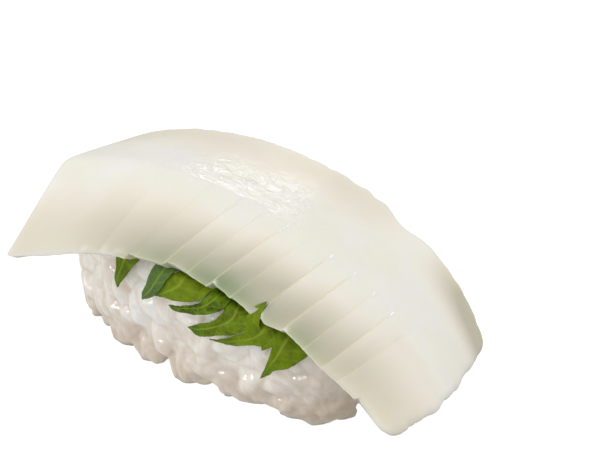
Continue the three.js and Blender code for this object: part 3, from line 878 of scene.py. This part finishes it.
def ball(rings, sides):
    """A closed ball of radius 1: rings of corners between two poles, and its faces."""
    polar = np.linspace(0, math.pi, rings + 1)[1:-1, None]
    turn = np.arange(sides) * 2 * math.pi / sides
    middle = np.stack(
        [np.sin(polar) * np.cos(turn), np.sin(polar) * np.sin(turn), np.cos(polar) + 0 * turn], -1
    ).reshape(-1, 3)
    corners = np.concatenate([[[0, 0, 1]], middle, [[0, 0, -1]]])
    ring = 1 + np.arange(sides)
    following = 1 + (np.arange(sides) + 1) % sides
    faces = [(0, a, b) for a, b in zip(ring, following)]
    for k in range(rings - 2):
        low, high = k * sides, (k + 1) * sides
        faces += [(a + low, a + high, b + high, b + low) for a, b in zip(ring, following)]
    last, base = len(corners) - 1, (rings - 2) * sides
    faces += [(last, b + base, a + base) for a, b in zip(ring, following)]
    return corners, faces


def turned(angles):
    """Rotation matrices for turns about X, Y and Z in that order."""
    (cx, cy, cz), (sx, sy, sz) = np.cos(angles).T, np.sin(angles).T
    zero, one = 0 * cx, 0 * cx + 1
    about_x = np.array([[one, zero, zero], [zero, cx, -sx], [zero, sx, cx]])
    about_y = np.array([[cy, zero, sy], [zero, one, zero], [-sy, zero, cy]])
    about_z = np.array([[cz, -sz, zero], [sz, cz, zero], [zero, zero, one]])
    return np.einsum("ijn,jkn,kln->nil", about_z, about_y, about_x)


print("a grain has", len(ball(8, 12)[0]), "corners")

# %% [markdown]
# Each grain gets a random place on the outline, a size and a turn: it lies against the side of
# the block, at any tilt from level to upright. Grains that would stick into the slice are left
# out. The draws come from one seeded generator, so every run makes the same block.

# %% Scatter the grains
chance = np.random.default_rng(12)
count = GRAIN["count"]
angle = chance.uniform(0, 2 * math.pi, count)
height = chance.uniform(0.9, RICE_TOP - 1.5, count)
sunk = -GRAIN["sunk"] + chance.uniform(-0.25, 0.25, count) + 0.4 * smooth_step(-height, -7, -2)
middle = outline_point(angle, height, sunk)
ahead = outline_point(angle + 0.02, height, sunk) - middle
kept = under_slice(middle)[0] > GRAIN["clear"]
middle, ahead, count = middle[kept], ahead[kept], int(kept.sum())
stretch = 1 + GRAIN["spread"] * chance.uniform(-1, 1, (count, 3))
width = GRAIN["width"]
sizes = np.array([GRAIN["length"], width, width * GRAIN["flatness"]]) / 2 * stretch
lean = chance.uniform(-1, 1, count)
spin = np.stack([
    chance.uniform(-math.pi, math.pi, count),
    lean * math.pi / 2,
    np.arctan2(ahead[:, 1], ahead[:, 0]) + chance.uniform(-GRAIN["lean"], GRAIN["lean"], count),
], -1)
shape, shape_faces = ball(8, 12)
curved = shape.copy()
curved[:, 1] += GRAIN["bend"] * shape[:, 0] ** 2
turns = turned(spin)
grain_corners = np.einsum("nij,nkj->nki", turns, curved * sizes[:, None]) + middle[:, None]
print("grains:", count)

# %% [markdown]
# The core is a closed ball whose rings are carried to outlines of the block. Three helpers
# follow: one makes it, one keeps points below the slice, and one finds out afterwards which
# grain a corner of the joined skin belongs to.

# %% Core, clearance and ownership
CORE = {"rings": 24, "sides": 72, "inside": 0.5, "lowest": 0.15, "highest": RICE_TOP - 3}


def core_ball():
    """The bare core: a ball whose rings become outlines of the block, a little inside it."""
    rings = CORE["rings"]
    corners, faces = ball(rings, CORE["sides"])
    polar = np.arccos(np.clip(corners[:, 2], -1, 1)) / math.pi
    height = RICE_TOP * (1 - (polar * rings - 1) / (rings - 2))
    height = np.clip(height, CORE["lowest"], CORE["highest"])
    angle = np.arctan2(corners[:, 1], corners[:, 0])
    side = outline_point(angle, height, -CORE["inside"])
    centre = np.array([RIDGE[0] + RICE["x"], RIDGE[1] + RICE["y"], 0])
    pole = (corners[:, 0] ** 2 + corners[:, 1] ** 2 < 1e-6)[:, None]
    return np.where(pole, centre + [0, 0, 1] * height[:, None], side), faces


def pressed_down(points, clearance):
    """Points that come nearer than that under the slice are moved down until they don't."""
    below, downward = under_slice(points)
    lack = clearance - below
    push = 0.5 * (lack + np.hypot(lack, 0.4))
    return points + downward * (push * (lack > -2))[:, None]


def nearest_grains(points):
    """The grain that each point belongs to, and how much further the next one is. The distance
    from a grain is the length of the point's place in it, counted in the grain's half sizes."""
    owner = np.zeros(len(points), int)
    first = second = np.full(len(points), 9.0)
    for number in range(count):
        place = (points - middle[number]) @ turns[number] / sizes[number]
        distance = np.sqrt((place**2).sum(1))
        owner[distance < first] = number
        second = np.minimum(second, np.maximum(first, distance))
        first = np.minimum(first, distance)
    return owner, second - first


print("the core has", len(core_ball()[0]), "corners")

# %% [markdown]
# A voxel remesh joins core and grains into one closed skin. Between real grains, starch fills the
# creases. The skin is therefore swollen, remeshed and shrunk again: a crease that closed while it
# was swollen stays closed. Smoothing rounds what is left, so that the grains look half melted.

# %% Fuse the grains
VOXEL = 0.26
FILLET = 0.3  # starch fills the creases between grains with a round of this radius
SMOOTHING = {"rough": 6, "final": 10}
core_corners, core_faces = core_ball()
all_corners = np.concatenate([pressed_down(core_corners, 0.6), grain_corners.reshape(-1, 3)])
all_faces = [tuple(face) for face in core_faces]
for number in range(count):
    first = len(core_corners) + number * len(shape)
    all_faces += [tuple(first + corner for corner in face) for face in shape_faces]

rough_mesh = bpy.data.meshes.new("rough_rice")
rough_mesh.from_pydata((all_corners * MM).tolist(), [], all_faces)
rough = bpy.data.objects.new("rough_rice", rough_mesh)
bpy.context.scene.collection.objects.link(rough)
joining = {"mode": "VOXEL", "voxel_size": VOXEL * MM, "use_smooth_shade": True}
for kind, values in (
    ("REMESH", joining),
    ("SMOOTH", {"factor": 0.5, "iterations": SMOOTHING["rough"]}),
    ("DISPLACE", {"strength": FILLET * MM, "mid_level": 0}),
    ("REMESH", joining),
    ("DISPLACE", {"strength": -FILLET * MM, "mid_level": 0}),
    ("SMOOTH", {"factor": 0.5, "iterations": SMOOTHING["final"]}),
):
    step = rough.modifiers.new(kind.lower(), kind)
    for key, value in values.items():
        setattr(step, key, value)
joined = rough.evaluated_get(bpy.context.evaluated_depsgraph_get()).to_mesh()
rice_corners = np.empty(len(joined.vertices) * 3)
joined.vertices.foreach_get("co", rice_corners)
rice_corners = rice_corners.reshape(-1, 3) / MM
rice_normals = np.empty(len(joined.vertices) * 3)
joined.vertex_normals.foreach_get("vector", rice_normals)
rice_faces = np.empty(len(joined.loops), int)
joined.loops.foreach_get("vertex_index", rice_faces)
rice_faces = rice_faces.reshape(-1, 4)
bpy.data.objects.remove(rough)
print("rice skin:", len(rice_corners), "corners")

# %% [markdown]
# The skin then gets an uneven film of wet starch, is kept clear of the slice and the floor, and
# its front foot is tucked in on the right half. Two numbers are kept for the finish: how near a
# corner is to a seam between grains, for painted shade in the creases, and its grain's own tone.

# %% Film, seams and foot
FILM = {"size": 1.4, "height": 0.2}
FOOT_TUCK = {"by": 1.5, "x": (-8, 10), "height": 10, "y": (-6, 2)}
owner, lead = nearest_grains(rice_corners)
# Painted shade in the creases between grains: darker near a seam.
seam = hump(lead, 0, 0.22)
grain_tone = np.random.default_rng(5).uniform(0, 1, count)[owner]
film = FILM["height"] * cloud(rice_corners, FILM["size"], 21)
film += 0.5 * FILM["height"] * cloud(rice_corners, FILM["size"] / 2, 22)
film *= 0.4 + 0.6 * smooth_step(-rice_corners[:, 2], -16, -6)
rice_corners += rice_normals.reshape(-1, 3) * film[:, None]
rice_corners = pressed_down(rice_corners, 0.1)
tuck = smooth_step(rice_corners[:, 0], *FOOT_TUCK["x"])
tuck = tuck * smooth_step(-rice_corners[:, 2], -FOOT_TUCK["height"], 0)
tuck = tuck * (1 - smooth_step(rice_corners[:, 1], *FOOT_TUCK["y"]))
rice_corners[:, 1] += FOOT_TUCK["by"] * tuck
rice_corners[:, 2] = np.maximum(rice_corners[:, 2], 0)
print("rice box:", rice_corners.min(0).round(1), rice_corners.max(0).round(1))

# %% [markdown]
# ## Finishes
# Raw squid is milky: light goes in, scatters and comes out some millimetres away. What its
# surface shows from place to place is kept as numbers on the mesh: where the green leaf shows
# through, painted; painted shade and light on the lower front and the thin edges; where the cut
# lines lie; and where water stands, which adds gloss and a painted highlight.

# %% Leaf seen through, and painted shade on the flesh
LEAF_SHADE = np.array([  # mark on the ridge, and how strongly the leaf shows through there
    (-16, 0), (-9, 0.22), (-4, 0.45), (-1, 0.6), (1.5, 0.35), (5, 0.8), (9, 1.1), (12, 0.75),
    (15, 0.35), (17, 0.45), (19.6, 0.12), (21, 0.5), (24, 0.5), (27, 0.2), (31, 0),
])
# Painted shade: the lower front is darker, standing in for light lost on its way through the milky
# flesh.
FRONT_SHADE = np.array([  # mark on the ridge, and how grey the lower front is there
    (-34, 0.42), (-22, 0.5), (-10, 0.85), (2, 1.0), (12, 1.1), (22, 1.0), (28, 0.7), (40, 0.42),
])
# Weights of painted shade and light: darker just below the ridge toward the right end, darker at
# the thin rear edge on the right and the left, where less light scatters back, darker along the
# front lip except at its left end, lighter on the lit side of each cut, and a random step per
# strip.
GREY = {
    "ridge": 0.2, "rear_right": 1.25, "rear_left": 0.4, "lit": 0.16, "strip": 0.07, "lip": 0.35,
}
leaf_through = np.interp(mark, *LEAF_SHADE.T) * hump(from_lip, 0.9, 2.5) * is_front
# Painted light just right of each cut and painted shade just left of it, and a random step of
# painted shade per strip, for strips that face the light a little differently.
lit_side = np.clip(off_cut / 0.1, -1, 1) * np.exp(-np.abs(off_cut) / 1.1) * CUT_DEPTH[nearest]
strip_tone = np.random.default_rng(9).uniform(-1, 1, len(CUTS) + 1)
strip_tone = strip_tone[np.searchsorted(CUT_STARTS, mark)]
# The number below sums painted shade on the lower front and the thin edges, and painted light on
# the lit side of each cut.
lower_front = smooth_step(down, 0.12, 0.85) * np.interp(mark, *FRONT_SHADE.T)
lower_front += GREY["ridge"] * smooth_step(down, 0.0, 0.2) * smooth_step(mark, 20, 32)
lower_front += GREY["rear_right"] * smooth_step(f, 0.5, 0.92) * smooth_step(mark, 20, 36)
lower_front += GREY["rear_left"] * smooth_step(f, 0.3, 0.9) * (1 - smooth_step(mark, 10, 25))
lower_front -= GREY["lit"] * lit_side * smooth_step(down, 0.05, 0.5)
lower_front += GREY["strip"] * strip_tone * smooth_step(down, 0.05, 0.5)
lower_front += GREY["lip"] * hump(from_lip, 0, 0.4) * is_front * smooth_step(mark, -12, -6)
print("leaf seen through, at most:", leaf_through.max().round(2))

# %% Cut lines, and wet edges with gloss and painted highlights
# Painted highlights: near-white colour along the ridge, on scallops of the lip, on torn bits, at
# the tops of the cuts and at the notches. The same number also gives the clear coat its real gloss.
WET = {"crest": 0.25, "scallops": 0.35, "torn": 1.3, "cut_tops": 1.4, "notches": 0.8}
cut_line = in_cut * cut_reach * (top > 0.9) * CUT_DEPTH[nearest]
cut_tops = WET["cut_tops"] * CUT_DEPTH[nearest] * hump(off_cut, 0.24, 0.26) * hump(f, -0.01, 0.06)
scallops = hump(from_lip, 0.5 + 0.3 * cloud(flat_place, 1.6, 15), 0.12) * hump(mark, -24, 9)
notches = hump(off_cut, 0.35, 0.3) * hump(from_lip, 0.1, 0.5) * (CUT_STEP[nearest] > 0.02)
wet_lip = WET["scallops"] * scallops * is_front * top + WET["torn"] * np.maximum(torn, 0)
wet_edge = WET["crest"] * crest_line + np.maximum(wet_lip, cut_tops)
wet_edge = np.clip(np.maximum(wet_edge, WET["notches"] * notches * is_front * top), 0, 1)
print("wet corners:", int((wet_edge > 0.5).sum()))

# %% [markdown]
# The squid's colour is built in layers, each laid over the one before by a number of the mesh.
# Its shader scatters all of its light below the surface. Gloss comes from a thin clear coat,
# mostly where the skin or an edge is wet, since the cut flesh is nearly matt.

# %% Squid finish
# Painted light among these layers: painted shade on the lower front, the green of the leaf seen
# through the lip, painted, and a near-white painted highlight on wet edges.
SQUID_LAYERS = (  # number on the mesh, its share, and the colour that it brings
    ("lower_front", 1.0, (203, 200, 181)),
    ("leaf_through", 0.68, (122, 148, 108)),
    ("cut_line", 0.75, (238, 233, 204)),
    ("wet_edge", 0.75, (255, 254, 250)),
)


def mottled(nodes, size, colour, second):
    """The mottling group, in patches of that size between two colours."""
    group = use_group(
        nodes, "mottling", Size=size, Colour=linear(*colour), Second=linear(*second)
    )
    return group.outputs[0]


def layered(nodes, colour, layers):
    """Lays colours over a first one, each by its number on the mesh times its share."""
    for name, share, over in layers:
        factor = nodes.math("MULTIPLY", nodes.attribute(name), share)
        colour = nodes.mix(factor, colour, linear(*over))
    return colour


squid, nodes, shader = new_material("raw_squid")
flesh = mottled(nodes, 9.0, (254, 250, 241), (251, 245, 234))
wrinkles = use_group(
    nodes, "wet_relief", Size=1.2, Height=0.36, Where=nodes.attribute("skin"), Stretch=(0.45, 1, 1)
).outputs[0]
gloss = nodes.math(
    "ADD", nodes.math("MULTIPLY", nodes.attribute("skin"), 0.25),
    nodes.math("MULTIPLY", nodes.attribute("wet_edge"), 0.9),
)
nodes.put_all(shader, {
    "Base Color": layered(nodes, flesh, SQUID_LAYERS),
    "Roughness": 0.42, "Specular IOR Level": 0.2, "IOR": 1.38, "Normal": wrinkles,
    "Coat Weight": nodes.math("ADD", gloss, 0.05), "Coat Roughness": 0.1, "Coat IOR": 2.0,
    "Coat Normal": wrinkles,
    "Subsurface Weight": 1.0, "Subsurface Radius": (1.0, 0.94, 0.82),
    "Subsurface Scale": 2.6 * MM,
})

slice_piece = new_piece(
    "squid_over_rice", slice_corners, slice_faces, squid, leaf_through=leaf_through,
    cut_line=cut_line, lower_front=lower_front, skin=skin, wet_edge=wet_edge,
)

# %% [markdown]
# A shiso leaf is matt, with pale veins: a midrib, side veins, and a fine net between them. The
# borders of cells around scattered points draw such a net well. The veins also stand out a
# little. The folded flap shows the leaf's duller underside.

# %% Leaf finish
LEAF_LAYERS = (
    ("pale", 1.0, (120, 142, 4)), ("tip", 0.55, (58, 98, 36)), ("dull", 0.7, (84, 116, 72)),
)
VEIN_NET = {"size": 0.8, "width": 0.07, "strength": 0.4}
leaf, nodes, shader = new_material("green_leaf")
green = mottled(nodes, 1.8, (24, 54, 0), (92, 126, 0))
net = nodes.add(
    "ShaderNodeTexVoronoi", {"feature": "DISTANCE_TO_EDGE"},
    Vector=nodes.object_place(), Scale=1 / (VEIN_NET["size"] * MM),
)
net_line = nodes.between(net, 0.0, VEIN_NET["width"], VEIN_NET["strength"], 0.0)
veins = nodes.math("MAXIMUM", nodes.attribute("rib"), net_line)
leaf_relief = nodes.add("ShaderNodeBump", Height=veins, Strength=0.5, Distance=0.1 * MM)
nodes.put_all(shader, {
    "Base Color": nodes.mix(
        nodes.math("MULTIPLY", veins, 0.65), layered(nodes, green, LEAF_LAYERS),
        linear(160, 182, 58),
    ),
    "Roughness": 0.6, "Specular IOR Level": 0.15, "Normal": leaf_relief,
    "Subsurface Weight": 0.15, "Subsurface Radius": (0.4, 0.8, 0.2),
    "Subsurface Scale": 0.5 * MM,
})

leaf_piece = new_piece(
    "toothed_leaf", leaf_corners, leaf_faces, leaf,
    rib=leaf_rib, tip=leaf_tip, pale=leaf_pale, dull=leaf_dull,
)

# %% [markdown]
# Cooked rice is a pale body with a film of water on it. The body only scatters. The film is the
# clear coat, bent by smooth ripples of about a millimetre, so that each lamp shows as separate
# small glints. At a slant such a film would mirror the white room in long streaks, so Layer
# Weight fades it out where the surface turns away. Painted shade darkens the seams between grains,
# the foot, and the right end under the slice.

# %% Rice finish
# Painted shade at the seams, at the right end and at the foot; grain_tone is each grain's own tone.
RICE_LAYERS = (
    ("shade", 1.0, (214, 198, 178)), ("seam", 0.45, (206, 194, 178)),
    ("grain_tone", 0.3, (222, 210, 196)),
)
RIPPLE = {"size": 1.1, "height": 0.5, "stretch": (1, 1, 0.45)}
rice, nodes, shader = new_material("cooked_rice")
starch = mottled(nodes, 3.0, (255, 251, 245), (252, 246, 238))
stretched_place = nodes.math(
    "MULTIPLY", nodes.object_place(), RIPPLE["stretch"], kind="ShaderNodeVectorMath"
)
ripple = nodes.add(
    "ShaderNodeTexNoise", Vector=stretched_place, Scale=1 / (RIPPLE["size"] * MM), Detail=0.0
)
rice_film = nodes.add("ShaderNodeBump", Height=ripple, Distance=RIPPLE["height"] * MM)
turned_away = nodes.add("ShaderNodeLayerWeight", out=1, Normal=rice_film)
nodes.put_all(shader, {
    "Base Color": layered(nodes, starch, RICE_LAYERS),
    "Roughness": 0.35, "Specular IOR Level": 0.0, "IOR": 1.4,
    "Coat Weight": nodes.between(turned_away, 0.3, 0.5, 1.0, 0.0), "Coat Roughness": 0.07,
    "Coat IOR": 2.0, "Coat Normal": rice_film,
    "Subsurface Weight": 1.0, "Subsurface Radius": (1.0, 0.93, 0.87),
    "Subsurface Scale": 3.2 * MM,
})

# Painted shade: darker toward the right end, under the slice, and toward the foot.
RICE_SHADE = {"right": 0.45, "foot": 0.85}
rice_x, _, rice_z = rice_corners.T
rice_shade = RICE_SHADE["right"] * smooth_step(rice_x, 10, 24)
rice_shade += RICE_SHADE["foot"] * smooth_step(-rice_z, -9, -1)
rice_piece = new_piece(
    "rice_grains", rice_corners, rice_faces, rice,
    shade=np.minimum(rice_shade, 1), seam=seam, grain_tone=grain_tone,
)

# %% [markdown]
# ## Handing the pieces over
# Each new piece rides on the one body of the model, and the plain solid that it replaces is
# hidden. Last, both boxes are printed.

# %% Hand over
for piece, node, slot in (
    (rice_piece, "rice", "rice"),
    (leaf_piece, "shiso_leaf", "leaf"),
    (slice_piece, "squid_slice", "squid"),
):
    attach(piece, "root")
    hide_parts(node)

made_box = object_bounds()
for label, (low, high) in (("cad", cad_box), ("visual", made_box)):
    print(label, [round(v / MM, 1) for v in (*low, *high)])
